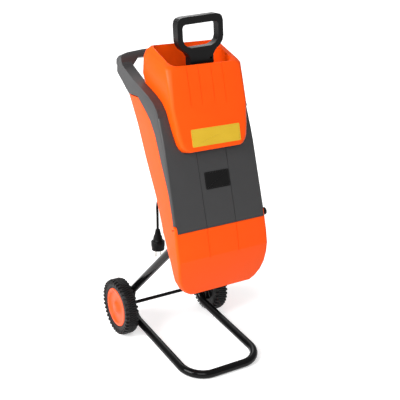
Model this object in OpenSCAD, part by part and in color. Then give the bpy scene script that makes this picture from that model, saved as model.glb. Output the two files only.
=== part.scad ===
// Electric garden shredder on a wheeled tube stand, in millimetres, Z up, front towards -Y.
// The origin is on the ground under the middle of the whole object.

/* [Stand] */
// outer diameter of the bent stand tube
tube_d = 22; // [20:1:24]
// wall thickness of the stand tube
tube_wall = 1.8; // [1.2:0.1:2.5]
// distance between the two rails, centre to centre
rail_span = 217; // [205:1:225]
// distance from the axle forward to the front bar
stand_len = 340; // [300:5:380]
// height gained by the rails between the front bar and the axle
rail_rise = 34; // [24:1:44]
// centreline radius of the front bends
front_bend_r = 62; // [45:1:75]
// centreline radius of the leg bends at the axle
leg_bend_r = 52; // [50:1:54]
// where the leg bend starts, forward of the axle
leg_bend_start = 42; // [40:1:46]
// slope of the straight legs above the ground
leg_angle = 41.9; // [41:0.1:43]
// straight length of the legs above the bend
leg_len = 355; // [345:1:360]
// where foot tube and leg tube join, forward of the axle
joint_back = 78; // [70:1:100]
// length of the spigot inside the foot tube
spigot_len = 40; // [20:1:60]

/* [Wheels] */
// outer diameter of the tyres
wheel_d = 160; // [150:1:170]
// width of the tyres
tyre_w = 38; // [34:1:42]
// length of the spacers between the legs and the hubs
spacer_len = 6.7; // [4:0.1:12]
// diameter of the axle rod
axle_d = 10; // [8:0.5:12]
// running clearance of the hubs on the axle, on the radius
hub_clear = 0.05; // [0.02:0.01:0.1]

/* [Body] */
// lean of the body towards the rear
body_tilt = 16.3; // [15:0.1:18]
// height of the lower edge of the cover above the ground
body_z = 400; // [390:1:410]
// how far the lower edge of the cover lies in front of the axle
body_fwd = 300; // [292:1:306]
// greatest width of the body
body_w = 282; // [276:1:290]
// wall thickness of the plastic shells
wall = 3; // [2.5:0.1:3.5]
// gap between the cover and the housing
part_gap = 1; // [0.5:0.1:1]
// half distance between the two long grooves of the front
groove_x = 42.6; // [36:0.1:48]
// width of the long grooves
groove_w = 2; // [1.5:0.1:3]
// depth of the long grooves
groove_d = 1.2; // [0.8:0.1:1.5]

/* [Cover hinge] */
// hinge axis behind the front face
hinge_v = 10; // [10:0.1:11]
// hinge axis above the lower edge of the cover
hinge_w = 10; // [9.5:0.1:10.5]
// diameter of the hinge pins
hinge_pin_d = 6; // [5:0.5:7]
// running clearance of the cover on its pins, on the radius
hinge_clear = 0.05; // [0.02:0.01:0.1]

/* [Handle] */
// thickness of each handle arm
arm_t = 29; // [26:1:30]

/* [Hopper] */
// sideways offset of the outer hopper walls
hop_x = 4; // [0:0.5:5]
// gap between the hopper and the cover round it
hop_gap = 1.6; // [0.4:0.1:2]
// half width of the feed throat inside
throat_hw = 46; // [44:1:48]
// lower end of the feed throat along the body
throat_w = 178; // [176:1:182]
// spacing of the two inner hopper grooves
hop_groove_in = 36; // [30:1:40]
// spacing of the two outer hopper grooves
hop_groove_out = 100; // [90:1:110]

/* [Pusher] */
// distance of the pusher in front of the axle
pusher_fwd = 180; // [178:0.5:182]
// sideways offset of the pusher
pusher_x = 2; // [-2:0.5:6]
// sideways lean of the pusher
pusher_lean = 3; // [0:0.5:4]
// width of the grip
grip_w = 128; // [120:1:136]
// top of the grip above the ground
grip_top = 902; // [890:1:910]
// width of the neck
neck_w = 66; // [60:1:68]
// width of the plunger foot that rests on the funnel
foot_w = 72.2; // [60:0.1:72.4]
// diameter of the hanging hole in the neck
hang_d = 6; // [4:0.5:7]

/* [Cutter and motor] */
// cutter centre behind the front face
disc_v = 70; // [68:0.5:72]
// cutter centre above the lower edge of the cover
disc_w = 114; // [112:0.5:116]
// angle of the motor axis to the body
motor_lean = 45; // [44:0.5:46]
// diameter of the cutter disc
disc_d = 144; // [136:1:146]
// thickness of the cutter disc
disc_t = 8; // [6:0.5:9]
// diameter of the rotor shaft
shaft_d = 10; // [8:0.5:12]
// running clearance of the shaft in its bearings, on the radius
shaft_clear = 0.03; // [0.02:0.01:0.08]
// outer diameter of the motor cover
motor_d = 112; // [110:1:114]
// diameter of the armature core
arm_d = 53; // [48:1:54]
// air gap between armature and field, on the radius
air_gap = 0.8; // [0.5:0.1:1.2]

/* [Mains lead] */
// diameter of the mains lead
lead_d = 7; // [6:0.1:8]
// diameter of the plug body
plug_d = 38; // [36:0.5:40]
// diameter of the plug pins
pin_d = 4.8; // [4:0.1:5]
// length of the plug pins
pin_len = 19; // [17:0.5:20]
// spacing of the plug pins
pin_gap = 19; // [18:0.5:19.5]

/* [Plates] */
// width of the blank hopper plate
label_w = 139; // [120:1:145]
// height of the blank hopper plate
label_h = 43; // [36:1:46]
// width of the blank cover plate
badge_w = 70; // [60:1:72]
// height of the blank cover plate
badge_h = 43; // [36:1:46]

/* [Hidden] */
$fn = 64;
tube_r = tube_d / 2;
tube_in = tube_r - tube_wall;
rail_x = rail_span / 2;
axle_y = (stand_len + tube_r - wheel_d / 2) / 2;
axle_z = wheel_d / 2;
rail_a = atan(rail_rise / stand_len);
rail_len = (stand_len - joint_back) / cos(rail_a);
wheel_x = rail_x + tube_r + 0.4 + spacer_len + 18.9;
xk = body_w / 282;
// inner faces of the housing beside the lower edge of the cover
hinge_l = 126 * xk;
hinge_r = 128.3 * xk;
// pivot of the switch rocker
rocker_pin_d = 4;
// screws that hold the motor flange
FLANGE_XY = [[40, 62], [-40, 62], [70, 0], [-70, 0]];
function unit(v) = v / norm(v);
// rail centreline height at a distance forward of the axle
function rail_z(f) = tube_r + rail_rise * (stand_len - f) / stand_len;
bend_c = [-leg_bend_start - leg_bend_r * sin(rail_a), rail_z(leg_bend_start) + leg_bend_r * cos(rail_a)];
bend_sweep = 180 - leg_angle - rail_a;
leg_s = bend_c + leg_bend_r * [sin(leg_angle), cos(leg_angle)];
leg_e = leg_s + leg_len * [-cos(leg_angle), sin(leg_angle)];
socket_s = leg_s + (leg_len - 62) * [-cos(leg_angle), sin(leg_angle)];

// stations of the body outline: height, half width, front, rear, front corner, rear corner
BODY = [
  [-163, 90, 45, 62, 7, 8],
  [-155, 104, 41, 61.5, 7, 10],
  [-140, 118, 33.5, 61, 7, 12],
  [-120, 127.5, 24, 60.5, 7, 14],
  [-95, 131.5, 12.6, 58.5, 7, 15],
  [-72, 133, 5, 58, 7, 15],
  [-40, 133.5, 2.6, 65, 6, 15],
  [0, 132.5, 0, 74, 6, 15],
  [40, 131.5, 0, 80, 5, 15],
  [92, 130.5, 0, 88, 5, 15],
  [144, 130, 0, 103, 5, 16],
  [196, 129.5, 0, 118, 5, 18],
  [231, 129, 2, 127.5, 5, 20],
  [280, 128.5, 7.2, 141, 5, 24],
  [299, 128.3, 9.4, 148.4, 5, 25.6],
  [320, 128.1, 21.5, 156.5, 5, 27.4],
  [341, 128, 44.6, 164.3, 5, 28.8],
  [376, 128, 90, 177, 5, 30]];
// rear face of the body at a height
function rear_v(w) = lookup(w, [for (s = BODY) [s[0], s[3]]]);
// lock knob: height, distance from the rear face, and lean square to the path of the opening cover
lock_w = 346;
lock_in = 19.1;
lock_v = rear_v(lock_w) - lock_in;
lock_a = atan((lock_v - hinge_v) / (lock_w - hinge_w));

// parting line of cover and housing along the sides, from the hinge up to the handle
PARTING = [[6, 20.4], [6, 49], [9, 98], [15, 135], [23, 172], [29, 209], [36, 246], [51, 283], [66, 304],
  [83, 325], [98, 343], [150, 357], [215, 376]];

// stations of the hopper outside: height in front, half width, front, rear, corners, slope, cap
HOP_OUT = [
  [191, 76, -19, 30, 10, 10, 0, 999],
  [195, 85, -19.2, 38, 11, 12, 0, 999],
  [203, 92, -19.6, 50, 11, 14, 0, 999],
  [215, 97, -20.2, 62, 11, 16, 0, 999],
  [240, 101, -21.2, 76, 10, 18, 0, 999],
  [276, 104.5, -22.4, 90, 9, 18, 0, 999],
  [300, 107, -23.2, 98, 8, 16, 0.1, 999],
  [348, 107.5, -24.6, 112, 12, 15, 0.42, 409],
  [390, 107, -25.4, 95, 14, 15, 0.46, 444],
  [394.8, 103, -25.3, 86, 17, 16, 0.6, 455],
  [397, 94, -25, 72, 20, 18, 0.76, 463]];
// the same wall inside, open below
HOP_MID = [
  [180, 68, -15, 22, 7, 7, 0, 999],
  [195, 81, -15.2, 34, 8, 9, 0, 999],
  [203, 88, -15.6, 46, 8, 11, 0, 999],
  [215, 93, -16.2, 58, 8, 13, 0, 999],
  [240, 97, -17.2, 72, 7, 15, 0, 999],
  [276, 100.5, -18.4, 86, 7, 15, 0, 999],
  [300, 103, -19.2, 94, 6, 13, 0.1, 999],
  [348, 103.5, -20.6, 108, 6, 11, 0.42, 403],
  [384, 102, -21.4, 92, 6, 12, 0.46, 437],
  [388.5, 92, -21.2, 76, 12, 12, 0.7, 450]];
// funnel inside
HOP_IN = [
  [170, throat_hw, 36, 94, 8, 8, 0, 999],
  [226, throat_hw + 4, 28, 94, 10, 10, 0, 999],
  [276, 68, 6, 88, 14, 14, 0, 999],
  [322, 82, -9, 86, 16, 16, 0.2, 999],
  [360, 88, -17, 82, 17, 16, 0.6, 420],
  [404, 88, -23, 63, 18, 14, 0.76, 475]];
// funnel outside
HOP_FUN = [
  [throat_w, throat_hw + 3, 33, 97, 10, 10, 0, 999],
  [226, throat_hw + 7, 25, 97, 12, 12, 0, 999],
  [276, 71, 3, 90, 16, 16, 0, 999],
  [322, 86, -12, 89, 18, 18, 0.2, 999],
  [360, 92, -19.5, 85, 18, 17, 0.6, 420],
  [386, 91, -22.5, 70, 19, 15, 0.73, 454]];

// handle arm seen from the side
ARM = [[7, 284], [9, 299], [21, 320], [44, 341], [76, 364], [110, 387], [137, 410], [160, 430], [163, 438],
  [162, 448], [167, 453], [176, 452], [184, 446.5], [191, 437], [198, 420], [195, 414], [176, 392],
  [160, 371], [148, 358], [101, 345.5], [83.5, 327], [66.5, 306], [51.5, 285.5]];
// handle cross-bar seen from the side, and half of it seen from the front
BAR = [[164, 418], [162, 450], [164, 460], [169, 466.5], [175, 469], [181, 466], [188, 456], [194, 442],
  [199, 424], [197, 418]];
bar_x = 128 * xk;
gap_x = bar_x - arm_t;
BAR_HALF = [[-1, 446.5], [gap_x - 20, 446.5], [gap_x, 424.5], [bar_x, 436], [bar_x, 450], [bar_x - 6, 457],
  [bar_x - 22, 462], [60, 466.5], [0, 468], [-1, 468]];

// route of the mains lead from the gland to the plug
LEAD = [[-32, -82.6, 440.5], [-32, -72, 421], [-35, -64.5, 411], [-41, -58, 404.5], [-47, -54, 396],
  [-50, -52, 380], [-50, -52, 361], [-50, -52, 342], [-50, -52, 323], [-50, -52, 306]];
plug_p = [-50, axle_y - 52, 252.5];
// the part of a pin inside the plug is thinner
pin_root_d = pin_d - 0.8;

function corner(cx, cy, r, a0) = [for (i = [0:6]) [cx + r * cos(a0 + 15 * i), cy + r * sin(a0 + 15 * i)]];
function ring(b, vf, vr, rf, rr) = concat(
  corner(b - rf, vf + rf, rf, -90),
  corner(b - rr, vr - rr, rr, 0),
  corner(-b + rr, vr - rr, rr, 90),
  corner(-b + rf, vf + rf, rf, 180));
function lift(s, p, g) = len(s) > 6 ? min(s[0] + s[6] * (p.y - s[2]), s[7]) : s[0];
function skin(s, g) = [for (p = ring(s[1] * xk + g, s[2] - g, s[3] + g, max(s[4] + g, 1), max(s[5] + g, 1)))
  [p.x, p.y, lift(s, p, g)]];

// solid between rounded sections; g grows the sections
module loft(S, g = 0) {
  m = 28;
  n = len(S);
  pts = [for (s = S) each skin(s, g)];
  side = [for (k = [0:n - 2]) for (i = [0:m - 1]) let (j = (i + 1) % m)
    each [[k * m + i, (k + 1) * m + i, (k + 1) * m + j], [k * m + i, (k + 1) * m + j, k * m + j]]];
  low = [for (i = [0:m / 2 - 2]) each [[i, i + 1, m - 2 - i], [i, m - 2 - i, m - 1 - i]]];
  t = (n - 1) * m;
  top = [for (i = [0:m / 2 - 2]) each [[t + i, t + m - 2 - i, t + i + 1], [t + i, t + m - 1 - i,
    t + m - 2 - i]]];
  polyhedron(points = pts, faces = concat(side, low, top));
}

module body_frame() {
  translate([0, axle_y - body_fwd, body_z]) rotate([-body_tilt, 0, 0]) children();
}
module motor_frame() {
  body_frame() translate([0, disc_v, disc_w]) rotate([motor_lean, 0, 0]) children();
}
module lock_frame() {
  translate([0, lock_v, lock_w]) rotate([-lock_a, 0, 0]) children();
}
// side outline (v, w) drawn across the body between two x positions
module across(x0, x1) {
  translate([x0, 0, 0]) rotate([90, 0, 90]) linear_extrude(height = x1 - x0) children();
}
// rod along x through a point of the side view
module rod(x0, x1, v, w, d) {
  translate([x0, v, w]) rotate([0, 90, 0]) cylinder(h = x1 - x0, d = d);
}
// disc piece of the motor between two heights
module puck(z0, z1, r) {
  translate([0, 0, z0]) cylinder(h = z1 - z0, r = r);
}
module hoop(z0, z1, r0, r1) {
  difference() {
    puck(z0, z1, r1);
    puck(z0 - 1, z1 + 1, r0);
  }
}
module both() {
  children();
  mirror([1, 0, 0]) children();
}
// straight rod in the side plane
module bar2(p, q, r) {
  d = q - p;
  translate([p.x, p.y, 0]) rotate([0, 0, atan2(d.y, d.x)]) rotate([0, 90, 0]) cylinder(h = norm(d), r = r);
}

// Stand
module foot_path(r, e) {
  s = rail_x - front_bend_r;
  translate([-s, 0, 0]) rotate([0, 90, 0]) cylinder(h = 2 * s, r = r);
  both() {
    translate([s, front_bend_r, 0]) rotate([0, 0, -90]) rotate_extrude(angle = 90)
      translate([front_bend_r, 0]) circle(r = r);
    translate([rail_x, front_bend_r, 0]) rotate([-90, 0, 0]) cylinder(h = rail_len - front_bend_r + e,
      r = r);
  }
}
module foot_tube() {
  color("#1c1c1e") translate([0, axle_y - stand_len, tube_r]) rotate([rail_a, 0, 0]) difference() {
    foot_path(tube_r, 0);
    foot_path(tube_in, 1);
    both() translate([rail_x, rail_len - 18, -20]) cylinder(h = 20, d = 5.2);
  }
}
module pipe2(p, q, r, r_in) {
  d = unit(q - p);
  difference() {
    bar2(p, q, r);
    bar2(p - d, q + d, r_in);
  }
}
module leg(side) {
  j = [-joint_back, rail_z(joint_back)];
  u = [cos(rail_a), sin(rail_a)];
  t = [-leg_bend_start, rail_z(leg_bend_start)];
  translate([side * rail_x, axle_y, 0]) rotate([90, 0, 90]) difference() {
    union() {
      pipe2(j - spigot_len * u, j + 4 * u, tube_in - 0.1, tube_in - 2);
      pipe2(j, t, tube_r, tube_in - 2);
      // the bend is drawn a little thinner, so that its ends lie inside the straight walls
      translate([bend_c.x, bend_c.y, 0]) rotate([0, 0, -91.2 + rail_a]) rotate_extrude(angle =
        bend_sweep + 2.4)
        translate([leg_bend_r, 0]) difference() {
          circle(r = tube_r - 0.15);
          circle(r = tube_in - 1.85);
        }
      pipe2(leg_s, leg_e, tube_r, tube_in - 2);
    }
    translate([0, axle_z, -20]) cylinder(h = 40, d = axle_d + 0.2);
    translate([j.x - 18 * u.x, j.y - 18 * u.y, 0]) rotate([0, 0, rail_a]) rotate([90, 0, 0])
      cylinder(h = 20, d = 5.2);
  }
}
module left_leg_tube() {
  color("#1c1c1e") leg(-1);
}
module right_leg_tube() {
  color("#1c1c1e") leg(1);
}
module leg_screws() {
  color("#8a8c90") translate([0, axle_y - stand_len, tube_r]) rotate([rail_a, 0, 0]) both()
    translate([rail_x, rail_len - 18, 0]) {
      translate([0, 0, -tube_r - 0.5]) cylinder(h = 7, d = 5);
      translate([0, 0, -tube_r - 3.2]) cylinder(h = 3, d = 9);
    }
}
module axle_rod() {
  color("#2a2a2c") rod(-wheel_x - 16, wheel_x + 16, axle_y, axle_z, axle_d);
}

// Wheels
module wheel_frame(side) {
  translate([side * wheel_x, axle_y, axle_z]) rotate([0, side * 90, 0]) children();
}
module tyre() {
  o = wheel_d / 2;
  h = tyre_w / 2;
  rotate_extrude($fn = 96) polygon([[o - 24, -h + 4], [o - 10, -h + 1], [o - 4, -h], [o - 1, -h + 2.5],
    [o, -h + 7],
    [o, h - 7], [o - 1, h - 2.5], [o - 4, h], [o - 10, h - 1], [o - 24, h - 4]]);
}
module hub() {
  o = wheel_d / 2 - 24.2;
  b = axle_d / 2 + hub_clear;
  rotate_extrude($fn = 96) polygon([[b, -18.5], [13, -18.5], [13, -6], [o - 10, 0], [o - 10, -13], [o,
    -13], [o, 13],
    [o - 10, 13], [o - 10, 6], [18, 4], [13, 6], [12, 14], [b, 14]]);
}
// dished cover disc of the wheel
module hub_cap() {
  o = wheel_d / 2 - 24.2;
  rotate_extrude($fn = 96) polygon([[0, 19.4], [8, 19], [13, 17.4], [18, 13.5], [26, 11], [o - 17.8, 10.4],
    [o - 11.8, 12.6], [o - 9.4, 15], [o - 6.8, 16.2], [o - 2.8, 16.2], [o - 0.8, 15], [o - 0.4, 13.3],
    [o - 10.4, 13.3], [o - 11.6, 12.2], [o - 17.8, 8.4], [26, 8.8], [17, 11.4], [12.4, 15.2], [8, 16.8],
      [0, 17.2]]);
}
module left_tyre() {
  color("#222224") wheel_frame(-1) tyre();
}
module right_tyre() {
  color("#222224") wheel_frame(1) tyre();
}
module left_hub() {
  color("#1f1f21") wheel_frame(-1) hub();
}
module right_hub() {
  color("#1f1f21") wheel_frame(1) hub();
}
module left_hub_cap() {
  color("#f0642a") wheel_frame(-1) hub_cap();
}
module right_hub_cap() {
  color("#f0642a") wheel_frame(1) hub_cap();
}
module axle_spacer(side) {
  x0 = rail_x + tube_r + 0.4;
  x1 = wheel_x - 18.9;
  translate([0, axle_y, axle_z]) rotate([0, side * 90, 0]) hoop(x0, x1, axle_d / 2 + 0.1, axle_d / 2 + 3);
}
module left_spacer() {
  color("#8a8c90") axle_spacer(-1);
}
module right_spacer() {
  color("#8a8c90") axle_spacer(1);
}

// Body shells
// long grooves that follow the front face
module grooves(w0, w1) {
  difference() {
    both() translate([groove_x - groove_w / 2, -20, w0]) cube([groove_w, 50, w1 - w0]);
    loft(BODY, -groove_d);
  }
}
module cover_zone(g) {
  p = [for (q = PARTING) [q.x + g, q.y - g]];
  across(-200, 200) polygon(concat([[-80, 20.4 - g]], p, [[215, 520], [-80, 520]]));
}
module rear_housing() {
  color("#ff5a14") body_frame() difference() {
    union() {
      difference() {
        loft(BODY);
        loft([for (s = BODY) [s[0] + (s[0] < -162 ? -2 : s[0] > 370 ? 2 : 0), s[1], s[2], s[3], s[4],
          s[5]]], -wall);
        cover_zone(part_gap);
        // lower front left free for the cover
        across(-hinge_l + 0.3, hinge_r - 0.3) polygon([[-60, -part_gap], [40, -part_gap], [40, 21],
          [-60, 21]]);
        // rear wall ends above the chip outlet
        across(-90, 90) polygon([[50, -200], [120, -200], [120, -92], [50, -92]]);
      }
      // blocks that carry the hinge pins
      intersection() {
        loft(BODY);
        union() {
          rod(-hinge_l - 20, -hinge_l, hinge_v, hinge_w, 20);
          rod(hinge_r, hinge_r + 20, hinge_v, hinge_w, 20);
        }
      }
      // sockets for the legs
      intersection() {
        loft(BODY, -0.5);
        rotate([body_tilt, 0, 0]) translate([0, body_fwd, -body_z]) both()
          translate([rail_x, 0, 0]) rotate([90, 0, 90]) bar2(socket_s, leg_e + [-3, 3], tube_r + 4);
      }
      // boss of the lock knob with a rib to the rear wall
      intersection() {
        loft(BODY);
        union() {
          lock_frame() puck(-34, -4, 9);
          across(-3, 3) polygon([[lock_v - 13, lock_w - 32], [rear_v(lock_w - 52) - 1, lock_w - 52],
            [rear_v(lock_w - 13) - 1, lock_w - 13], [lock_v - 5, lock_w - 10]]);
        }
      }
      // chamber floor round the motor
      translate([0, disc_v, disc_w]) rotate([motor_lean, 0, 0]) difference() {
        hoop(-24, -20.4, motor_d / 2 + 0.3, disc_d / 2 + 14);
        translate([-120, -160, -60]) cube([240, 106, 80]);
      }
      // round chamber behind the cutter
      difference() {
        translate([0, disc_v, disc_w]) rotate([motor_lean, 0, 0]) puck(-24, 34, disc_d / 2 + 15);
        across(-200, 200) polygon(concat([[-80, -50]],
          [for (w = [-50, -40, 0, 40, 92, 144, 196]) [rear_v(w) - wall / 2, w]],
          [[rear_v(196) - wall / 2, 330], [-80, 330]]));
      }
    }
    translate([0, disc_v, disc_w]) rotate([motor_lean, 0, 0]) puck(-20, 60, disc_d / 2 + 12);
    translate([0, disc_v, disc_w]) rotate([motor_lean, 0, 0]) for (q = FLANGE_XY) translate(q)
      puck(-30, 0, 2.65);
    translate([0, disc_v, disc_w]) rotate([motor_lean, 0, 0]) puck(-230, 0, motor_d / 2 + 0.3);
    // swing of the lower edge of the cover
    rod(-hinge_l + 0.3, hinge_r - 0.3, hinge_v, hinge_w, 29.6);
    // round knuckles, clear of the swinging side strips
    difference() {
      across(-200, 200) polygon([[-20, hinge_w], [hinge_v, hinge_w], [hinge_v, 21], [-20, 21]]);
      rod(-201, 201, hinge_v, hinge_w, 20.4);
    }
    both() rod(90, 160, hinge_v, hinge_w, hinge_pin_d + 0.4);
    rod(hinge_r + 3.5, hinge_r + 45, hinge_v, hinge_w, 20.6);
    grooves(-76, 20);
    rotate([body_tilt, 0, 0]) translate([0, body_fwd, -body_z]) both()
      translate([rail_x, 0, 0]) rotate([90, 0, 90]) bar2(leg_s, leg_e + [-0.3, 0.3], tube_r + 0.2);
    // screw hole of the lock knob
    lock_frame() puck(-30, 40, 4.05);
  }
}
module front_cover() {
  color("#4a4a4c") body_frame() difference() {
    union() {
      difference() {
        intersection() {
          loft(BODY);
          union() {
            intersection() {
              cover_zone(0);
              across(-200, 200) polygon([[-80, 0], [98, 0], [98, 343], [-80, 343]]);
            }
            across(-hinge_l + 0.6, hinge_r - 0.6) polygon([[-60, 0], [30, 0], [30, 22], [-60, 22]]);
          }
        }
        loft([for (s = BODY) [s[0] + (s[0] > 370 ? 2 : 0), s[1], s[2], s[3], s[4], s[5]]], -wall);
      }
      // ears on the hinge pins
      intersection() {
        for (x = [-hinge_l + 0.6, hinge_r - 16]) {
          rod(x, x + 15.4, hinge_v, hinge_w, 18);
          translate([x, 0.5, 1]) cube([15.4, 9, 20]);
        }
        loft(BODY);
      }
      // arms and cross-bar of the handle
      both() across(gap_x, bar_x) polygon(ARM);
      intersection() {
        across(-bar_x, bar_x) polygon(BAR);
        both() translate([0, 220, 0]) rotate([90, 0, 0]) linear_extrude(height = 80) polygon(BAR_HALF);
      }
      // deck behind the hopper, with the block that holds the latch plate
      across(-gap_x - 1, gap_x + 1) polygon([[84, 338], [98, 344.5], [lock_v - 17, lock_w + 7.2],
        [lock_v - 17, lock_w + 10.4], [98, 347.8], [84, 341.5]]);
      lock_frame() translate([-22, -36, -3]) cube([44, 18.5, 9]);
    }
    across(-gap_x, gap_x) polygon([[-80, 360], [60, 360], [60, 320], [-80, 320]]);
    translate([hop_x, 0, 0]) loft(HOP_OUT, hop_gap);
    rod(-hinge_l - 5, -hinge_l + 20, hinge_v, hinge_w, hinge_pin_d + 2 * hinge_clear);
    rod(hinge_r - 20, hinge_r + 3, hinge_v, hinge_w, hinge_pin_d + 2 * hinge_clear);
    grooves(-10, 215);
    // pocket of the latch plate
    lock_frame() translate([-20.1, -34, -0.05]) cube([40.2, 20, 3.1]);
    // blind holes of the hopper screws
    both() translate([116, 2.3, 215]) rotate([-90, 0, 0]) cylinder(h = 10, d = 4.2);
  }
}
// fork that slides under the head of the lock knob
module latch_plate() {
  color("#8a8c90") body_frame() lock_frame() difference() {
    translate([-20, -33.5, 0]) cube([40, 46.5, 3]);
    translate([-6.5, -9, -1]) cube([13, 30, 5]);
  }
}
module hopper() {
  color("#ff5a14") body_frame() difference() {
    union() {
      translate([hop_x, 0, 0]) difference() {
        loft(HOP_OUT);
        loft(HOP_MID);
      }
      loft(HOP_FUN);
      // lugs behind the cover
      both() translate([82, 4.9, 206]) cube([40, 3.4, 18]);
    }
    loft(HOP_IN);
    both() translate([116, 0, 215]) rotate([-90, 0, 0]) cylinder(h = 10, d = 4.2);
    for (x = [hop_groove_in / 2, hop_groove_out / 2]) both() across(x - 0.9, x + 0.9)
      polygon([[-40, 300], [-22.4, 300], [-24.3, 390], [-24.3, 420], [-40, 420]]);
  }
}
module label_plate() {
  color("#e8b23a") body_frame() translate([9, -20.6, 223.5]) rotate([2.2, 0, 0])
    translate([-label_w / 2, -0.8, -label_h / 2]) cube([label_w, 0.7, label_h]);
}
module badge_plate() {
  color("#161616") body_frame() translate([6 - badge_w / 2, -1.1, 115 - badge_h / 2]) cube([badge_w, 1,
    badge_h]);
}
module hopper_screws() {
  color("#8a8c90") body_frame() both() translate([116, 2.6, 215]) rotate([-90, 0, 0]) {
    cylinder(h = 6.2, d = 4);
    translate([0, 0, 5.9]) cylinder(h = 2.4, d = 8);
  }
}
module left_hinge_pin() {
  color("#8a8c90") body_frame() rod(-hinge_l - 5, -hinge_l + 15.5, hinge_v, hinge_w, hinge_pin_d);
}
module right_hinge_pin() {
  color("#2a2a2c") body_frame() union() {
    rod(hinge_r - 15.8, hinge_r + 5.2, hinge_v, hinge_w, hinge_pin_d);
    rod(hinge_r + 3.8, hinge_r + 11, hinge_v, hinge_w, 20);
  }
}

// Pusher
module grip_outline() {
  h = grip_w / 2;
  polygon([[-h + 18, 0], [-h + 8, -2.5], [-h + 2.5, -8], [-h, -18], [-h, -56], [-h + 3, -67],
    [-h + 10, -76], [-neck_w / 2 - 6, -88],
    [-neck_w / 2, -98], [-neck_w / 2, -165], [-27, -175], [-27, -250],
    [-foot_w / 2, -262], [-foot_w / 2, -290], [foot_w / 2, -290], [foot_w / 2, -262], [27, -250], [27,
      -175],
    [neck_w / 2, -165], [neck_w / 2, -98], [neck_w / 2 + 6, -88], [h - 10, -76], [h - 3, -67],
    [h, -56], [h, -18], [h - 2.5, -8], [h - 8, -2.5], [h - 18, 0]]);
}
module grip_hole() {
  h = grip_w / 2 - 14;
  polygon([[-h + 8, -18], [-h + 2, -21], [-h, -27], [-h, -54], [-h + 3, -63], [-h + 10, -70], [-h + 22, -75],
    [h - 22, -75], [h - 10, -70], [h - 3, -63], [h, -54], [h, -27], [h - 2, -21], [h - 8, -18]]);
}
module pusher_frame() {
  translate([pusher_x, axle_y - pusher_fwd, grip_top]) rotate([0, -pusher_lean, 0]) children();
}
module pusher() {
  color("#1b1b1d") pusher_frame() difference() {
    union() {
      rotate([90, 0, 0]) translate([0, 0, -12]) linear_extrude(height = 24) grip_outline();
    }
    rotate([90, 0, 0]) translate([0, 0, -20]) linear_extrude(height = 40) grip_hole();
    translate([neck_w / 2 - 7, 20, -106]) rotate([90, 0, 0]) cylinder(h = 40, d = hang_d);
  }
}

// Motor and cutter
module motor_cover() {
  r = motor_d / 2;
  color("#1d1d1f") motor_frame() difference() {
    puck(-204, -20.4, r);
    puck(-200, -10, r - 3.5);
    for (a = [0:30:330]) rotate([0, 0, a]) translate([24, -3, -210]) cube([22, 6, 20]);
    // wires and screws of the switch box
    translate([-20, r - 12, -70]) cube([40, 20, 30]);
  }
}
module motor_flange() {
  color("#9a9da2") motor_frame() difference() {
    union() {
      puck(-20, -12, disc_d / 2 + 11.6);
      puck(-36, -19, 20);
    }
    puck(-30.2, -5, 13.15);
    puck(-50, 0, shaft_d / 2 + 2);
    translate([-120, -160, -60]) cube([240, 106, 80]);
    for (q = FLANGE_XY) translate([q.x, q.y, -30]) cylinder(h = 40, d = 5.4);
  }
}
module housing_screws() {
  color("#8a8c90") motor_frame() {
    for (q = FLANGE_XY) translate([q.x, q.y, -23.8]) cylinder(h = 13, d = 5);
    for (q = FLANGE_XY) translate([q.x, q.y, -11.9]) cylinder(h = 3, d = 9);
  }
}
module counter_blade() {
  color("#b4b7bc") motor_frame() difference() {
    union() {
      translate([58, -6, disc_t + 6.5]) cube([25.9, 30, 7]);
      translate([disc_d / 2 + 4, -6, -11.9]) cube([10, 30, disc_t + 20]);
    }
    hoop(-20, 60, disc_d / 2 + 11.7, 200);
  }
}
module front_bearing() {
  color("#b4b7bc") motor_frame() hoop(-30, -22, shaft_d / 2 + shaft_clear, 13);
}
module bearing_bracket() {
  color("#9a9da2") motor_frame() difference() {
    union() {
      puck(-188, -176, 18);
      translate([-8, -motor_d / 2 + 4.2, -188]) cube([16, motor_d - 8.4, 6]);
    }
    puck(-185, -170, 13.15);
    puck(-200, -170, shaft_d / 2 + 2);
  }
}
module rear_bearing() {
  color("#b4b7bc") motor_frame() hoop(-184.8, -176.8, shaft_d / 2 + shaft_clear, 13);
}
module field_core() {
  color("#7c7f84") motor_frame() difference() {
    hoop(-136, -76, arm_d / 2 + air_gap, motor_d / 2 - 4);
    for (a = [45:90:315]) rotate([0, 0, a]) translate([arm_d / 2 + 3, -6, -140]) cube([12, 12, 70]);
  }
}
module field_coils() {
  color("#b8642c") motor_frame() {
    hoop(-75.7, -64, arm_d / 2 + 2, arm_d / 2 + 17);
    hoop(-148, -136.3, arm_d / 2 + 2, arm_d / 2 + 17);
    for (a = [45:90:315]) rotate([0, 0, a]) translate([arm_d / 2 + 3.4, -5.6, -137]) cube([11.2, 11.2, 62]);
  }
}
module brush_holders() {
  color("#c8a050") motor_frame() both() difference() {
    translate([18, -7, -167]) cube([34, 14, 14]);
    translate([10, -4.2, -164.2]) cube([34, 8.4, 8.4]);
  }
}
module carbon_brushes() {
  color("#3a3a3c") motor_frame() both() translate([16.6, -4, -164]) cube([20, 8, 8]);
}
module capacitor() {
  color("#d8c060") body_frame() translate([0, disc_v, disc_w]) rotate([motor_lean, 0, 0])
    translate([-40.9, 72.8, -62]) cube([22, 20, 26]);
}
module rotor_shaft() {
  color("#b4b7bc") motor_frame() puck(-190, disc_t + 14, shaft_d / 2);
}
module armature_core() {
  color("#7c7f84") motor_frame() difference() {
    hoop(-136, -76, shaft_d / 2 + 0.02, arm_d / 2);
    for (a = [0:30:330]) rotate([0, 0, a]) translate([arm_d / 2 - 7, -1.5, -140]) cube([10, 3, 70]);
  }
}
module armature_windings() {
  color("#b8642c") motor_frame() {
    hoop(-75.9, -66, shaft_d / 2 + 0.02, arm_d / 2 - 4);
    hoop(-146, -136.1, shaft_d / 2 + 0.02, arm_d / 2 - 4);
  }
}
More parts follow.
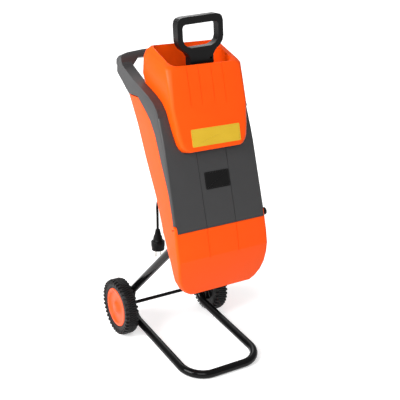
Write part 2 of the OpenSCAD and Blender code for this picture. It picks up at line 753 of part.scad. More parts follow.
module commutator() {
  color("#c07a40") motor_frame() difference() {
    hoop(-170, -146.2, shaft_d / 2 + 0.02, 16);
    for (a = [0:15:345]) rotate([0, 0, a]) translate([14.6, -0.4, -172]) cube([4, 0.8, 24]);
  }
}
module cooling_fan() {
  color("#2c2c2e") motor_frame() union() {
    hoop(-62, -58, shaft_d / 2 + 0.02, 42);
    hoop(-62, -42, shaft_d / 2 + 0.02, 11);
    for (a = [0:30:330]) rotate([0, 0, a]) translate([10, -1, -59]) cube([31, 2, 15]);
  }
}
module blade_frame(k) {
  rotate([0, 0, 180 * k]) translate([-17, 26, 0]) children();
}
module cutter_disc() {
  color("#86898e") motor_frame() difference() {
    union() {
      puck(0, disc_t, disc_d / 2);
      puck(-9, 1, 14);
    }
    puck(-20, 20, shaft_d / 2 + 0.02);
    for (k = [0, 1]) blade_frame(k) {
      // slot that lets the chips through
      translate([35, -2, -5]) cube([9, 40, 30]);
      for (y = [8, 30]) translate([17, y, -5]) cylinder(h = 30, d = 6.3);
    }
  }
}
module cutter_blades() {
  color("#c4c7cc") motor_frame() for (k = [0, 1]) blade_frame(k) difference() {
    rotate([90, 0, 0]) mirror([0, 0, 1]) linear_extrude(height = 38)
      polygon([[0, disc_t + 0.05], [34, disc_t + 0.05], [38, disc_t + 4], [0, disc_t + 4]]);
    for (y = [8, 30]) translate([17, y, 0]) cylinder(h = 30, d = 6.3);
  }
}
module blade_screws() {
  color("#55585c") motor_frame() for (k = [0, 1]) blade_frame(k) for (y = [8, 30]) translate([17, y, 0]) {
    translate([0, 0, 0.5]) cylinder(h = disc_t + 4, d = 6);
    translate([0, 0, disc_t + 4.1]) cylinder(h = 1.6, d = 10);
  }
}
module disc_nut() {
  color("#55585c") motor_frame() difference() {
    puck_hex(disc_t + 0.1, disc_t + 9, 9.5);
    puck(0, 40, shaft_d / 2 + 0.02);
  }
}
module puck_hex(z0, z1, r) {
  translate([0, 0, z0]) cylinder(h = z1 - z0, r = r, $fn = 6);
}

// Switch gear
module switch_box() {
  r = motor_d / 2;
  color("#1d1d1f") motor_frame() difference() {
    union() {
      difference() {
        translate([-44, 30, -88]) cube([88, 66, 62]);
        translate([-41, 0, -85]) cube([82, 93, 56]);
      }
      // cheeks that carry the rocker
      both() translate([14, 84, -54]) cube([3.4, 10, 12]);
    }
    puck(-100, 0, r + 0.3);
    translate([0, 90, -48]) cube([27, 20, 18], center = true);
    translate([-20, 90, -48]) rotate([0, 90, 0]) cylinder(h = 40, d = rocker_pin_d + 0.4);
    translate([28, 80, -52]) rotate([-90, 0, 0]) cylinder(h = 30, d = 12.6);
    translate([-32, 80, -100]) cylinder(h = 30, d = 12.4);
  }
}
module cable_gland() {
  color("#161617") motor_frame() translate([-32, 80, 0]) difference() {
    union() {
      translate([0, 0, -122.3]) cylinder(h = 34, r1 = 5.2, r2 = 8.5);
      translate([0, 0, -88.3]) cylinder(h = 8, d = 12);
    }
    translate([0, 0, -130]) cylinder(h = 60, d = lead_d + 0.2);
  }
}
module switch_rocker() {
  color("#c02018") motor_frame() translate([0, 92, -48]) rotate([90, 0, 90]) translate([0, 0, -12])
    linear_extrude(height = 24) polygon([[-7, -6.4], [3.4, -7], [6.6, -7], [5, 0], [4.4, 7], [3.4, 7],
      [-7, 6.4]]);
  color("#c02018") motor_frame() translate([-17.2, 90, -48]) rotate([0, 90, 0]) cylinder(h = 34.4,
    d = rocker_pin_d);
}
module reset_button() {
  color("#202022") motor_frame() translate([28, 84, -52]) rotate([-90, 0, 0]) union() {
    cylinder(h = 17, d = 12);
    translate([0, 0, 0]) cylinder(h = 4, d = 15);
  }
}
function tangent(i) = unit(LEAD[min(i + 1, len(LEAD) - 1)] - LEAD[max(i - 1, 0)]);
function lead_ring(i) = let (t = tangent(i), u = unit(cross(t, [1, 0, 0])), w = cross(t, u))
  [for (k = [0:9]) LEAD[i] + [0, axle_y, 0] + lead_d / 2 * (cos(36 * k) * u + sin(36 * k) * w)];
module mains_lead() {
  n = len(LEAD);
  pts = [for (i = [0:n - 1]) each lead_ring(i)];
  side = [for (i = [0:n - 2]) for (k = [0:9]) let (j = (k + 1) % 10)
    each [[i * 10 + k, (i + 1) * 10 + k, (i + 1) * 10 + j], [i * 10 + k, (i + 1) * 10 + j, i * 10 + j]]];
  color("#161617") polyhedron(points = pts, faces = concat(side, [[for (k = [0:9]) k]],
    [[for (k = [9:-1:0]) (n - 1) * 10 + k]]));
}
module plug_body() {
  r = plug_d / 2;
  color("#161617") translate(plug_p) difference() {
    rotate_extrude() polygon([[0, 0], [r - 1.5, 0], [r - 0.6, 12], [r, 14], [r, 24], [r - 4, 25],
      [r - 7, 27], [9, 46],
      [5.6, 60], [0, 60]]);
    translate([0, 0, 52]) cylinder(h = 20, d = lead_d + 0.2);
    rotate([0, 0, 20]) for (s = [-1, 1]) translate([s * pin_gap / 2, 0, -1]) cylinder(h = 12,
      d = pin_root_d + 0.04);
  }
}
module plug_pins() {
  color("#c8b060") translate(plug_p) rotate([0, 0, 20]) for (s = [-1, 1]) translate([s * pin_gap / 2, 0,
    -pin_len])
    union() {
      cylinder(h = pin_len, d = pin_d);
      translate([0, 0, pin_len - 1]) cylinder(h = 11, d = pin_root_d);
    }
}
module interlock_switch() {
  color("#202022") body_frame() difference() {
    translate([-126.7, 26, 140]) cube([18, 22, 30]);
    translate([-117.2, 20, 155]) rotate([-90, 0, 0]) cylinder(h = 18, d = 6.2);
  }
}
module interlock_plunger() {
  color("#d0d0d0") body_frame() translate([-117.2, 4.2, 155]) rotate([-90, 0, 0]) cylinder(h = 28, d = 6.1);
}
module lock_knob() {
  color("#1b1b1d") body_frame() lock_frame() union() {
    puck(-28, 6, 4);
    difference() {
      puck(3.8, 18, 13.2);
      for (a = [0:60:300]) rotate([0, 0, a]) translate([17, 0, 0]) cylinder(h = 40, r = 6);
    }
  }
}

foot_tube();
left_leg_tube();
right_leg_tube();
leg_screws();
axle_rod();
left_tyre();
right_tyre();
left_hub();
right_hub();
left_hub_cap();
right_hub_cap();
left_spacer();
right_spacer();
rear_housing();
front_cover();
latch_plate();
hopper();
label_plate();
badge_plate();
hopper_screws();
left_hinge_pin();
right_hinge_pin();
pusher();
motor_cover();
motor_flange();
housing_screws();
counter_blade();
front_bearing();
bearing_bracket();
rear_bearing();
field_core();
field_coils();
brush_holders();
carbon_brushes();
capacitor();
rotor_shaft();
armature_core();
armature_windings();
commutator();
cooling_fan();
cutter_disc();
cutter_blades();
blade_screws();
disc_nut();
switch_box();
cable_gland();
switch_rocker();
reset_button();
mains_lead();
plug_body();
plug_pins();
interlock_switch();
interlock_plunger();
lock_knob();
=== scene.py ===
import math

import bmesh
import bpy
from mathutils import Matrix, Vector


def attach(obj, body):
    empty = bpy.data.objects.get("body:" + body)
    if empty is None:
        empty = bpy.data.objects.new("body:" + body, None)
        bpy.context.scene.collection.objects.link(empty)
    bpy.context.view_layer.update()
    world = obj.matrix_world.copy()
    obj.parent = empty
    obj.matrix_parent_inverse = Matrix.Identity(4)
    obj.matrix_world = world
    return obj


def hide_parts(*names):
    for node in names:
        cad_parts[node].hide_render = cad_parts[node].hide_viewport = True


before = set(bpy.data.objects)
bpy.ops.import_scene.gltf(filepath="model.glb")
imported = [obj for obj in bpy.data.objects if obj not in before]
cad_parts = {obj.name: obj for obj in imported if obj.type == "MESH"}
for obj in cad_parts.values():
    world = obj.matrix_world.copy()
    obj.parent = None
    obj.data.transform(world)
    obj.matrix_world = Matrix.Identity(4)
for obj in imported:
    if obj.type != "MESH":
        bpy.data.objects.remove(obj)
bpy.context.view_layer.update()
scene = bpy.context.scene


# Studio
# A pale floor that runs out to white. One big soft lamp stands high on the left, a weaker one beside the
# camera and one behind. The camera stands to the front left, a little above the hopper, with a long lens.
def added(name, data):
    """A new object in the scene."""
    made = bpy.data.objects.new(name, data)
    scene.collection.objects.link(made)
    return made


def aim(thing, place, target):
    """Puts a camera or a lamp at a place and turns it to a target."""
    thing.location = place
    thing.rotation_euler = (Vector(target) - thing.location).to_track_quat("-Z", "Y").to_euler()


camera = added("camera", bpy.data.cameras.new("camera"))
scene.camera = camera
aim(camera, (-1.02385, -1.76886, 1.15848), (0.11639, 0.1355, 0.35061))
camera.data.sensor_width = 36
camera.data.lens = 73.89
scene.view_settings.view_transform = "Standard"

for name, place, target, size, power in (
        ("lamp_left", (-2.5, -0.45, 1.9), (0, 0, 0.45), 1.7, 108),
        ("lamp_front", (-0.9, -1.95, 1.8), (0, 0, 0.5), 1.2, 24),
        ("lamp_behind", (0.6, 2.2, 2.2), (0, 0, 0.5), 1.8, 24)):
    lamp = added(name, bpy.data.lights.new(name, "AREA"))
    aim(lamp, place, target)
    lamp.data.size = size
    lamp.data.energy = power


class Tap:
    """One socket of a shader tree. Sums on it become Math nodes."""

    def __init__(self, tree, socket):
        self.tree = tree
        self.socket = socket

    def node(self, kind, settings=None, sockets=None, out=0):
        made = self.tree.nodes.new("ShaderNode" + kind)
        for key, value in (settings or {}).items():
            setattr(made, key, value)
        for key, value in (sockets or {}).items():
            if isinstance(value, Tap):
                self.tree.links.new(value.socket, made.inputs[key])
            else:
                made.inputs[key].default_value = value
        return Tap(self.tree, made.outputs[out])

    def sum(self, operation, first, second):
        return self.node("Math", {"operation": operation}, {0: first, 1: second})

    def __add__(self, other):
        return self.sum("ADD", self, other)

    def __radd__(self, other):
        return self.sum("ADD", other, self)

    def __mul__(self, other):
        return self.sum("MULTIPLY", self, other)

    def __rmul__(self, other):
        return self.sum("MULTIPLY", other, self)

    def __gt__(self, other):
        return self.sum("GREATER_THAN", self, other)

    def noise(self, scale, detail=3.0):
        return self.node("TexNoise", None,
                         {"Vector": self, "Scale": scale, "Detail": detail, "Roughness": 0.55})

    def tint(self, share, first, second):
        return self.node("Mix", {"data_type": "RGBA"}, {0: share, 6: first, 7: second}, 2)

    def bump(self, height, distance):
        return self.node("Bump", None, {"Strength": 1.0, "Distance": distance, "Height": height})

    def steer(self, turn=(0, 0, 0), stretch=(1, 1, 1)):
        return self.node("Mapping", None, {"Vector": self, "Rotation": turn, "Scale": stretch})

    def length(self):
        return self.node("VectorMath", {"operation": "LENGTH"}, {0: self}, 1)


def finish(name):
    """A new material and the tap of its Object coordinates."""
    made = bpy.data.materials.new(name)
    made.use_nodes = True
    coordinates = made.node_tree.nodes.new("ShaderNodeTexCoord").outputs["Object"]
    return made, Tap(made.node_tree, coordinates)


def coat(made, sockets):
    """Sets the shader's own sockets: plain values stay on the socket, taps are linked."""
    shader = made.node_tree.nodes["Principled BSDF"]
    for key, value in sockets.items():
        if isinstance(value, Tap):
            made.node_tree.links.new(value.socket, shader.inputs[key])
        else:
            shader.inputs[key].default_value = value
    return made


# the floor glows only where it is seen, and more so further out
floor_white, place = finish("floor_white")
rays = place.node("LightPath").socket.node.outputs
direct = (Tap(place.tree, rays["Is Camera Ray"]) + Tap(place.tree, rays["Is Glossy Ray"])
          + Tap(place.tree, rays["Is Transmission Ray"]))
far = place.node("MapRange", {"interpolation_type": "SMOOTHSTEP"},
                 {"Value": place.length(), "From Min": 0.5, "From Max": 2.6, "To Min": 0.40, "To Max": 1.0})
coat(floor_white, {"Base Color": (0.90, 0.90, 0.90, 1), "Roughness": 0.9, "Specular IOR Level": 0.1,
                   "Emission Color": direct * far, "Emission Strength": 1.0})

floor_half = 40
floor_drop = 0.0004
bm = bmesh.new()
bmesh.ops.create_grid(bm, x_segments=8, y_segments=8, size=floor_half)
bmesh.ops.translate(bm, vec=(0, 0, -floor_drop), verts=bm.verts)
floor_mesh = bpy.data.meshes.new("floor")
bm.to_mesh(floor_mesh)
bm.free()
floor_mesh.materials.append(floor_white)
floor = added("floor", floor_mesh)

# the sky is white for the camera and weaker as a light
sky_light = 0.36
sky_mirrored = 0.10
world = bpy.data.worlds.new("studio")
scene.world = world
world.use_nodes = True
sky = world.node_tree.nodes["Background"]
seen = Tap(world.node_tree, world.node_tree.nodes.new("ShaderNodeLightPath").outputs["Is Camera Ray"])
glossy = Tap(world.node_tree, seen.socket.node.outputs["Is Glossy Ray"])
strength = sky_light + (1 - sky_light) * seen + sky_mirrored * glossy
world.node_tree.links.new(strength.socket, sky.inputs["Strength"])
sky.inputs["Color"].default_value = (1, 1, 1, 1)


# Mains lead
# A short black lead of 7 mm with a moulded round plug and two pins, which hangs from a bend guard under the
# switch box. The route is the one of the solid, in mm from the axle, from the guard's mouth to the plug.
def surface(name, clouds, colour, shade, rough, metallic=0.0, specular=0.5, relief=None):
    """A finish that drifts between two colours. rough is lowest, span and scale; relief is scale and depth."""
    made, place = finish(name)
    lowest, span, scale = rough
    sockets = {"Base Color": place.tint(place.noise(clouds), colour, shade), "Metallic": metallic,
               "Roughness": lowest + span * place.noise(scale), "Specular IOR Level": specular}
    if relief:
        *grain, depth = relief
        sockets["Normal"] = place.bump(place.noise(*grain), depth)
    return coat(made, sockets)


lead_d = 0.007
lead_route = ((-32, -72, 421), (-35, -64.5, 411), (-41, -58, 404.5), (-47, -54, 396), (-50, -52, 380),
              (-50, -52, 361), (-50, -52, 342), (-50, -52, 323), (-50, -52, 306))
axle_y = 0.1355
axle_z = 0.080

lead_pvc = surface("lead_pvc", 60, (0.0026, 0.0026, 0.0028, 1), (0.0050, 0.0050, 0.0052, 1),
                   (0.36, 0.12, 120), specular=0.10, relief=(900, 2, 0.00008))

lead_curve = bpy.data.curves.new("mains_lead_pvc", "CURVE")
lead_curve.dimensions = "3D"
lead_curve.bevel_depth = lead_d / 2
lead_curve.bevel_resolution = 5
lead_curve.resolution_u = 10
lead_curve.use_fill_caps = True
spline = lead_curve.splines.new("BEZIER")
spline.bezier_points.add(len(lead_route) - 1)
for knot, (x, y, z) in zip(spline.bezier_points, lead_route):
    knot.co = (x / 1000, y / 1000 + axle_y, z / 1000)
    knot.handle_left_type = knot.handle_right_type = "AUTO"
lead_curve.materials.append(lead_pvc)
lead = added("mains_lead_pvc", lead_curve)
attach(lead, "stand_and_housing")
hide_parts("mains_lead")


def soften(bm, angle):
    """Smooth faces, with hard edges kept where two faces meet at more than the angle."""
    for face in bm.faces:
        face.smooth = True
    for edge in bm.edges:
        edge.smooth = len(edge.link_faces) == 2 and edge.calc_face_angle(0) < math.radians(angle)


def piece(name, bm, look, body, node):
    """Turns a bmesh into a piece that rides on a body, and hides the CAD node whose place it takes."""
    mesh = bpy.data.meshes.new(name)
    bm.to_mesh(mesh)
    bm.free()
    mesh.materials.append(look)
    made = added(name, mesh)
    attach(made, body)
    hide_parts(node)
    return made


def turned(bm, outline, steps):
    """Spins an outline of (radius, height) points in mm about the Z axis and joins the ends."""
    knots = [bm.verts.new((r / 1000, 0, z / 1000)) for r, z in outline]
    edges = [bm.edges.new(pair) for pair in zip(knots, knots[1:])]
    bmesh.ops.spin(bm, geom=knots + edges, cent=(0, 0, 0), axis=(0, 0, 1), angle=math.tau, steps=steps,
                   use_merge=True)
    bmesh.ops.remove_doubles(bm, verts=bm.verts, dist=1e-6)
    bmesh.ops.recalc_face_normals(bm, faces=bm.faces)


def block(bm, size, place):
    """Adds a box of a size, with its middle at a place, and gives its corners."""
    corners = bmesh.ops.create_cube(bm, size=1)["verts"]
    bmesh.ops.scale(bm, vec=size, verts=corners)
    bmesh.ops.translate(bm, vec=place, verts=corners)
    return corners


def turn(bm, corners, angle, axis="Z"):
    """Turns corners about an axis through the origin."""
    bmesh.ops.rotate(bm, cent=(0, 0, 0), matrix=Matrix.Rotation(angle, 3, axis), verts=corners)


def join(bm, extra):
    """Adds a second bmesh to the first and frees it."""
    held = bpy.data.meshes.new("held")
    extra.to_mesh(held)
    extra.free()
    bm.from_mesh(held)
    bpy.data.meshes.remove(held)


plug_at = Vector((-0.050, axle_y - 0.052, 0.2525))
plug_outline = [(0, 0), (16.6, 0), (17.4, 0.6), (17.6, 2), (18.3, 11.5), (19, 13), (19, 24), (18.4, 25.2),
                (14.6, 26), (13.2, 27.4), (11.4, 33), (9.6, 43), (8.6, 47.6), (8.4, 48.4), (7.0, 48.7),
                (7.0, 50.1), (8.0, 50.4), (7.8, 52.0), (6.4, 52.3), (6.4, 53.7), (7.2, 54.0), (7.0, 55.6),
                (5.9, 55.9), (5.9, 57.2), (6.5, 57.5), (6.0, 60), (3.6, 60.2), (3.6, 53), (0, 53)]
finger_ribs = 5
bm = bmesh.new()
turned(bm, plug_outline, 48)
for side in range(2):
    for step in range(finger_ribs):
        rib = block(bm, (0.0022, 0.009 - 0.0008 * step, 0.0012),
                    (0.0118 - 0.00042 * step, 0, 0.0303 + 0.0026 * step))
        turn(bm, rib, math.pi * side - math.pi / 4)
bmesh.ops.translate(bm, vec=plug_at, verts=bm.verts)
soften(bm, 40)
plug = piece("plug_moulding", bm, lead_pvc, "stand_and_housing", "plug_body")

pin_nickel = surface("pin_nickel", 300, (0.55, 0.53, 0.49, 1), (0.68, 0.66, 0.62, 1), (0.22, 0.18, 500), 1.0)
pin_outline = [(0, 9), (2, 9), (2, 0), (2.4, -0.1), (2.4, -17.2), (2.1, -18.3), (1.3, -18.9), (0, -19)]
pin_off = Vector((0.008927, 0.003249, 0))
bm = bmesh.new()
for side in (-1, 1):
    pin = bmesh.new()
    turned(pin, pin_outline, 24)
    bmesh.ops.translate(pin, vec=plug_at + side * pin_off, verts=pin.verts)
    join(bm, pin)
soften(bm, 40)
pins = piece("plug_contacts", bm, pin_nickel, "stand_and_housing", "plug_pins")

# the bend guard is a tapered rubber sleeve with rings, drawn on the motor axis and pushed into the switch box
motor_tilt = math.radians(28.7)
motor_at = Vector((0, -0.065317, 0.489771))
guard_rings = 7
guard_outline = [(3.6, -122.3), (5.2, -122.3)]
for step in range(guard_rings):
    z = -120.6 + 4.0 * step
    r = 5.35 + 0.38 * step
    guard_outline += [(r, z), (r + 0.1, z + 1.9), (r - 0.9, z + 2.2), (r - 0.8, z + 3.7)]
guard_outline += [(8.2, -92), (8.5, -88.5), (6, -88.3), (6, -80.3), (3.6, -80.3), (3.6, -122.3)]
bm = bmesh.new()
turned(bm, guard_outline, 40)
bmesh.ops.translate(bm, vec=(-0.032, 0.080, 0), verts=bm.verts)
turn(bm, bm.verts, motor_tilt, "X")
bmesh.ops.translate(bm, vec=motor_at, verts=bm.verts)
soften(bm, 40)
piece("bend_guard", bm, lead_pvc, "stand_and_housing", "cable_gland")


# Stand
# One bent foot tube and two bent leg tubes of 22 mm steel, pushed into each other and held by a screw from
# below. They are powder coated in gloss black, with the slight orange peel of such a coat.
def from_solid(node):
    """A merged copy of a CAD solid, with the cuts inside its flat faces taken out."""
    bm = bmesh.new()
    bm.from_mesh(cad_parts[node].data)
    bmesh.ops.remove_doubles(bm, verts=bm.verts, dist=2e-5)
    bmesh.ops.dissolve_limit(bm, angle_limit=math.radians(0.4), verts=bm.verts, edges=bm.edges)
    return bm


def wear(look, *nodes):
    """Gives CAD nodes their finish."""
    for node in nodes:
        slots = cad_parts[node].data.materials
        slots.clear()
        slots.append(look)


powder_black = surface("powder_black", 9, (0.0022, 0.0022, 0.0024, 1), (0.0036, 0.0036, 0.0038, 1),
                       (0.05, 0.06, 30), specular=0.14, relief=(420, 0.00012))
for node in ("foot_tube", "left_leg_tube", "right_leg_tube"):
    bm = from_solid(node)
    soften(bm, 35)
    piece(node + "_coated", bm, powder_black, "stand_and_housing", node)

zinc = surface("zinc_plate", 200, (0.42, 0.43, 0.45, 1), (0.62, 0.62, 0.63, 1), (0.30, 0.22, 350), 1.0,
               relief=(900, 0.00004))
wear(zinc, "leg_screws")


# Axle and wheels
# A black rod through both legs, a spacer on each side, and two wheels that run free on it. Each wheel is a
# black hub with a tyre that has fine cross bars and shoulder lugs, and an orange dished cap pressed on outside.
def ring_of(bm, geometry, count):
    """Repeats a shape round the Z axis."""
    bmesh.ops.spin(bm, geom=geometry, cent=(0, 0, 0), axis=(0, 0, 1), steps=count - 1, use_duplicate=True,
                   angle=math.tau * (count - 1) / count)


wear(powder_black, "axle_rod")
wear(zinc, "left_spacer", "right_spacer")

# painted light: beyond this radius from the axle the tread top is painted paler as a painted highlight where the
# bars catch the light, and the rubber below it is painted darker as painted shade in the gaps
lit_tread_from = 0.0776
tyre_rubber, place = finish("tyre_rubber")
tread_mottle = place.noise(25, 4)
from_axle = place.node("VectorMath", {"operation": "MULTIPLY_ADD"},
                       {0: place, 1: (0, 1, 1), 2: (0, -axle_y, -axle_z)})
tread = from_axle.length() > lit_tread_from
# painted highlight: the paler tone of the tread top, drifting with a noise between two greys
lit_tread_tone = place.tint(tread_mottle, (0.010, 0.010, 0.0103, 1), (0.020, 0.020, 0.0206, 1))
# painted shade: the dark base colour inside the tread radius; painted highlight: the paler tone outside it
coat(tyre_rubber, {"Base Color": place.tint(tread, (0.0045, 0.0045, 0.0047, 1), lit_tread_tone),
                   "Specular IOR Level": 0.2, "Roughness": 0.40 + 0.20 * place.noise(80),
                   "Normal": place.bump(place.noise(700), 0.00015)})
hub_orange = surface("hub_orange", 14, (0.88, 0.078, 0.007, 1), (0.96, 0.096, 0.011, 1), (0.28, 0.12, 60),
                     specular=0.24, relief=(900, 0.00005))
hub_black = surface("hub_black", 20, (0.0040, 0.0040, 0.0043, 1), (0.0070, 0.0070, 0.0074, 1),
                    (0.38, 0.14, 70), specular=0.2, relief=(900, 0.00006))

wheel_x = 0.1455
tyre_r = 80
tyre_outline = [(56, -15.5), (57.2, -16.2), (60, -16.4), (66, -17.2), (69, -17.6), (72, -17.4), (74.6, -14.2),
                (76.6, -10.5), (76.6, 10.5), (74.6, 14.2), (72, 17.4), (69, 17.6), (66, 17.2), (60, 16.4),
                (57.2, 16.2), (56, 15.5), (56, -15.5)]
# each row of lugs: lower and upper edge, foot radius, width, count, start in steps
lug_rows = ((11.2, 18.9, 67.5, 7.2, 38, 0.0), (0.4, 10.8, 75, 3.6, 76, 0.5),
            (-10.8, -0.4, 75, 3.6, 76, 0.0), (-18.9, -11.2, 67.5, 7.2, 38, 0.5))
lug_taper = 0.72
shoulder_drop = 0.0030
hub_outline = [(5.05, -18.5), (12.2, -18.5), (13, -17.8), (13, -7), (14, -5.8), (44.6, -0.2), (45.8, -1.2),
               (45.8, -12.4), (46.4, -13), (55.2, -13), (55.8, -12.4), (55.8, 12.4), (55.2, 13), (46.4, 13),
               (45.8, 12.4), (45.8, 7), (44.6, 5.9), (18.6, 4), (14, 5), (13, 6.4), (12.4, 13.4), (11.8, 14),
               (5.05, 14), (5.05, -18.5)]
hub_ribs = 10
cap_outline = [(0, 19.4), (4, 19.3), (8, 19), (11, 18.3), (13, 17.4), (15.5, 15.4), (18, 13.5), (21.5, 11.9),
               (26, 11), (32, 10.5), (38, 10.4), (41.5, 11.2), (44, 12.6), (45.4, 13.9), (46.4, 15),
               (47.6, 15.8), (49, 16.2), (53, 16.2), (54.2, 15.8), (55, 15), (55.4, 13.3), (45.4, 13.3),
               (44.2, 12.2), (38, 8.4), (26, 8.8), (17, 11.4), (12.4, 15.2), (8, 16.8), (0, 17.2)]
for side, word in ((-1, "left"), (1, "right")):
    to_wheel = (Matrix.Translation((side * wheel_x, axle_y, axle_z))
                @ Matrix.Rotation(side * math.pi / 2, 4, "Y"))
    bm = bmesh.new()
    turned(bm, tyre_outline, 120)
    lugs = bmesh.new()
    for low, high, foot, width, count, start in lug_rows:
        lug = block(lugs, ((tyre_r - foot) / 1000, width / 1000, (high - low) / 1000),
                    ((tyre_r + foot) / 2000, 0, (low + high) / 2000))
        for corner in lug:
            if corner.co.x > 0.0795:
                corner.co.y *= lug_taper
                if abs(corner.co.z) > 0.018:
                    corner.co.x -= shoulder_drop
        turn(lugs, lug, math.tau / count * start)
        lug_edges = {edge for corner in lug for edge in corner.link_edges}
        lug_faces = {face for corner in lug for face in corner.link_faces}
        ring_of(lugs, lug + list(lug_edges) + list(lug_faces), count)
    join(bm, lugs)
    bmesh.ops.transform(bm, matrix=to_wheel, verts=bm.verts)
    bmesh.ops.recalc_face_normals(bm, faces=bm.faces)
    soften(bm, 35)
    piece(word + "_tyre_tread", bm, tyre_rubber, word + "_wheel", word + "_tyre")

    bm = bmesh.new()
    turned(bm, hub_outline, 96)
    ribs = bmesh.new()
    block(ribs, (0.0335, 0.0026, 0.0066), (0.0293, 0, -0.0058))
    ring_of(ribs, ribs.verts[:] + ribs.edges[:] + ribs.faces[:], hub_ribs)
    join(bm, ribs)
    bmesh.ops.transform(bm, matrix=to_wheel, verts=bm.verts)
    soften(bm, 40)
    piece(word + "_hub_moulding", bm, hub_black, word + "_wheel", word + "_hub")

    bm = bmesh.new()
    turned(bm, cap_outline, 96)
    bmesh.ops.transform(bm, matrix=to_wheel, verts=bm.verts)
    soften(bm, 40)
    piece(word + "_hub_cover", bm, hub_orange, word + "_wheel", word + "_hub_cap")


# Body housing
# One orange injection moulding: the sides, the rear wall, the round chamber behind the cutter and the chip
# chute below. It has a fine satin texture, and the legs go into sockets in it.
def moulded(name, colour, shade, rough, grain, fine=1100, gloss=0.4):
    """Coloured plastic from a mould: faint clouds in the colour and a fine eroded grain."""
    made, place = finish(name)
    cloud = place.noise(5, 2)
    flow = place.noise(38, 4)
    return coat(made, {"Base Color": place.tint(0.65 * cloud + 0.35 * flow, colour, shade),
                       "Specular IOR Level": gloss, "Roughness": rough - 0.05 + 0.10 * flow,
                       "Normal": place.bump(place.noise(fine, 2), grain)})


def ease_edges(made, width, angle=32, segments=2):
    """Rounds the hard edges of a piece, as a mould or a file leaves them."""
    bevel = made.modifiers.new("eased", "BEVEL")
    bevel.limit_method = "ANGLE"
    bevel.angle_limit = math.radians(angle)
    bevel.width = width
    bevel.segments = segments
    bevel.use_clamp_overlap = True
    bevel.harden_normals = True


orange_shell = moulded("orange_shell", (0.93, 0.079, 0.0015, 1), (0.99, 0.090, 0.0025, 1), 0.40, 0.00006,
                       gloss=0.17)
lean = math.radians(16.3)
body_y = -0.1645
body_z = 0.4
chute_bend = -0.072
bm = from_solid("rear_housing")
soften(bm, 24)
for edge in bm.edges:
    # the bend of the chute is a hard line
    heights = [(v.co.y - body_y) * math.sin(lean) + (v.co.z - body_z) * math.cos(lean) for v in edge.verts]
    if max(abs(height - chute_bend) for height in heights) < 0.0003:
        edge.smooth = False
ease_edges(piece("housing_moulding", bm, orange_shell, "stand_and_housing", "rear_housing"), 0.0018)


# Front cover and handle
# A dark grey moulding that tips forward on two pins at its lower corners. The side strips run up into the
# arms of the handle, and a cross-bar joins them behind the hopper.
def moulding(name, look, body, node, angle, width, eased=32, segments=2):
    """A piece with the shape of a CAD node and eased edges."""
    bm = from_solid(node)
    soften(bm, angle)
    ease_edges(piece(name, bm, look, body, node), width, eased, segments)


grey_shell = moulded("grey_shell", (0.028, 0.0277, 0.0288, 1), (0.034, 0.0337, 0.0348, 1), 0.44, 0.00012,
                     900, 0.48)
moulding("cover_moulding", grey_shell, "cover", "front_cover", 24, 0.0022, 32, 3)

# Hopper
# The orange feed funnel is a double-walled moulding screwed behind the cover. Its mouth slopes down to the
# front, and four short grooves run down from the front lip.
moulding("hopper_moulding", orange_shell, "cover", "hopper", 38, 0.0020, 38, 3)
wear(zinc, "hopper_screws")


# Plates
# A yellow plate on the hopper and a small black one on the cover. Both are printed sheets on the real machine
# and are left bare here, with a thin border pressed into the sheet.
def front_of(bm):
    """The largest face that looks to the front."""
    return max(bm.faces, key=lambda face: face.calc_area() * (face.normal.y < -0.5))


yellow_sheet = surface("yellow_sheet", 22, (0.61, 0.38, 0.021, 1), (0.68, 0.45, 0.036, 1), (0.38, 0.10, 90),
                       specular=0.2, relief=(1500, 0.00003))
black_sheet = surface("black_sheet", 30, (0.0035, 0.0035, 0.0037, 1), (0.0060, 0.0056, 0.0056, 1),
                      (0.30, 0.10, 90), specular=0.15, relief=(1500, 0.00003))
corner_r = 0.003
line_width = 0.0007
line_depth = 0.0003
for node, look, rim in (("label_plate", yellow_sheet, 0.0022), ("badge_plate", black_sheet, 0.0018)):
    bm = from_solid(node)
    front = front_of(bm)
    corners = [edge for edge in bm.edges
               if all(abs(face.normal.dot(front.normal)) < 0.5 for face in edge.link_faces)]
    bmesh.ops.bevel(bm, geom=corners, offset=corner_r, segments=4, profile=0.5, affect="EDGES", material=-1)
    front = front_of(bm)
    for thickness, depth in ((rim, 0), (line_width, -line_depth), (line_width, line_depth)):
        bmesh.ops.inset_individual(bm, faces=[front], thickness=thickness, depth=depth)
    soften(bm, 20)
    piece(node + "_sheet", bm, look, "cover", node)

# Hinge pins
# The left pin is a plain blackened rod in the housing.
# The right one has a large black head that shows at the corner.
black_moulded = moulded("black_moulded", (0.0030, 0.0030, 0.0031, 1), (0.0050, 0.0049, 0.0050, 1), 0.36,
                        0.00010, gloss=0.13)
wear(powder_black, "left_hinge_pin")
moulding("hinge_pin_head", black_moulded, "stand_and_housing", "right_hinge_pin", 30, 0.0012)

# Pusher
# A black paddle with a closed grip that stands loose in the hopper and presses branches down. The grip is
# rounded all over for the hand, with a small hanging hole through the neck.
moulding("pusher_moulding", black_moulded, "pusher", "pusher", 30, 0.0045, 25, 4)

# Motor cover and switch box
# A black ribbed can over the motor at the back, with cooling slots in its end, and a box on top of it that
# holds the red rocker switch, the reset button of the overload cut-out and the cable entry.
moulding("motor_cover_moulding", black_moulded, "stand_and_housing", "motor_cover", 30, 0.0012)
moulding("switch_box_moulding", black_moulded, "stand_and_housing", "switch_box", 30, 0.0016)
rocker_red = moulded("rocker_red", (0.50, 0.012, 0.010, 1), (0.60, 0.020, 0.014, 1), 0.26, 0.00003)
moulding("rocker_cap", rocker_red, "switch_rocker", "switch_rocker", 30, 0.0006)
moulding("reset_cap", black_moulded, "reset_button", "reset_button", 30, 0.0008)

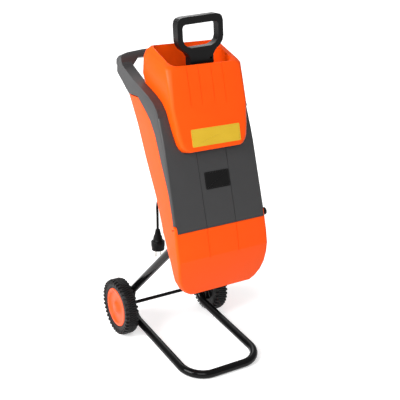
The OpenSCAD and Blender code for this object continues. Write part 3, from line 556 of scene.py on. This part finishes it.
# Cutter
# A steel disc with two bolted blades turns in the chamber under the feed throat, against a fixed counter
# blade. The faces are ground, so fine lines run along them; the screws are darker.
ground_steel, place = finish("ground_steel")
lines = place.steer(stretch=(1, 30, 30)).noise(60, 4)
coat(ground_steel, {"Base Color": place.tint(place.noise(40), (0.46, 0.47, 0.49, 1), (0.60, 0.61, 0.62, 1)),
                    "Metallic": 1.0, "Roughness": 0.24 + 0.22 * lines, "Normal": place.bump(lines, 0.00003)})
dark_steel = surface("dark_steel", 60, (0.10, 0.10, 0.11, 1), (0.17, 0.17, 0.18, 1), (0.34, 0.20, 200), 1.0)
wear(ground_steel, "cutter_disc", "cutter_blades", "counter_blade", "rotor_shaft", "front_bearing",
     "rear_bearing")
wear(dark_steel, "blade_screws", "disc_nut", "housing_screws")


# Motor inside
# A universal motor: laminated field and armature, copper windings, a commutator with two carbon brushes, a
# fan and two ball bearings in a cast flange and a cast bracket.
def banded(name, clouds, colour, shade, rough, metallic, waves, sockets, depth):
    """A metal with bands set to the motor axis: the sheets of a core or the turns of a coil."""
    made, place = finish(name)
    lowest, span, scale = rough
    along = place.steer(turn=(-motor_tilt, 0, 0))
    bands = along.node("TexWave", waves, {"Vector": along, **sockets}, 1)
    return coat(made, {"Base Color": place.tint(place.noise(clouds), colour, shade), "Metallic": metallic,
                       "Roughness": lowest + span * place.noise(scale), "Normal": place.bump(bands, depth)})


laminated = banded("laminated_iron", 70, (0.16, 0.16, 0.17, 1), (0.26, 0.26, 0.27, 1), (0.40, 0.15, 160), 0.9,
                   {"bands_direction": "Z"}, {"Scale": 320.0}, 0.0002)
copper_wire = banded("copper_wire", 90, (0.42, 0.13, 0.035, 1), (0.60, 0.22, 0.07, 1), (0.30, 0.14, 200), 0.8,
                     {"wave_type": "RINGS", "rings_direction": "Z"}, {"Scale": 260.0, "Distortion": 1.5}, 0.0004)
commutator_copper = surface("commutator_copper", 120, (0.60, 0.26, 0.12, 1), (0.74, 0.36, 0.18, 1),
                            (0.22, 0.16, 300), 1.0)
holder_brass = surface("holder_brass", 120, (0.62, 0.42, 0.14, 1), (0.74, 0.54, 0.22, 1), (0.28, 0.16, 260),
                       1.0)
carbon = surface("carbon", 300, (0.020, 0.020, 0.022, 1), (0.045, 0.045, 0.048, 1), (0.60, 0.20, 500))
cast_metal = surface("cast_aluminium", 80, (0.48, 0.49, 0.50, 1), (0.60, 0.61, 0.62, 1), (0.42, 0.20, 240),
                     1.0, relief=(420, 0.0002))
film_yellow = moulded("film_yellow", (0.60, 0.42, 0.07, 1), (0.70, 0.50, 0.10, 1), 0.35, 0.00004)
wear(laminated, "field_core", "armature_core")
wear(copper_wire, "field_coils", "armature_windings")
wear(commutator_copper, "commutator")
wear(holder_brass, "brush_holders")
wear(carbon, "carbon_brushes")
wear(cast_metal, "motor_flange", "bearing_bracket")
wear(black_moulded, "cooling_fan")
wear(film_yellow, "capacitor")

# Cover lock and safety switch
# A black star knob on the rear wall clamps a steel fork of the cover. When the cover tips away, a white
# plunger comes out of a small switch inside the left wall and breaks the circuit.
wear(zinc, "latch_plate")
moulding("lock_knob_moulding", black_moulded, "lock_knob", "lock_knob", 30, 0.0016, 30, 3)
wear(black_moulded, "interlock_switch")
white_acetal = moulded("white_acetal", (0.62, 0.62, 0.60, 1), (0.70, 0.70, 0.68, 1), 0.30, 0.00003)
wear(white_acetal, "interlock_plunger")
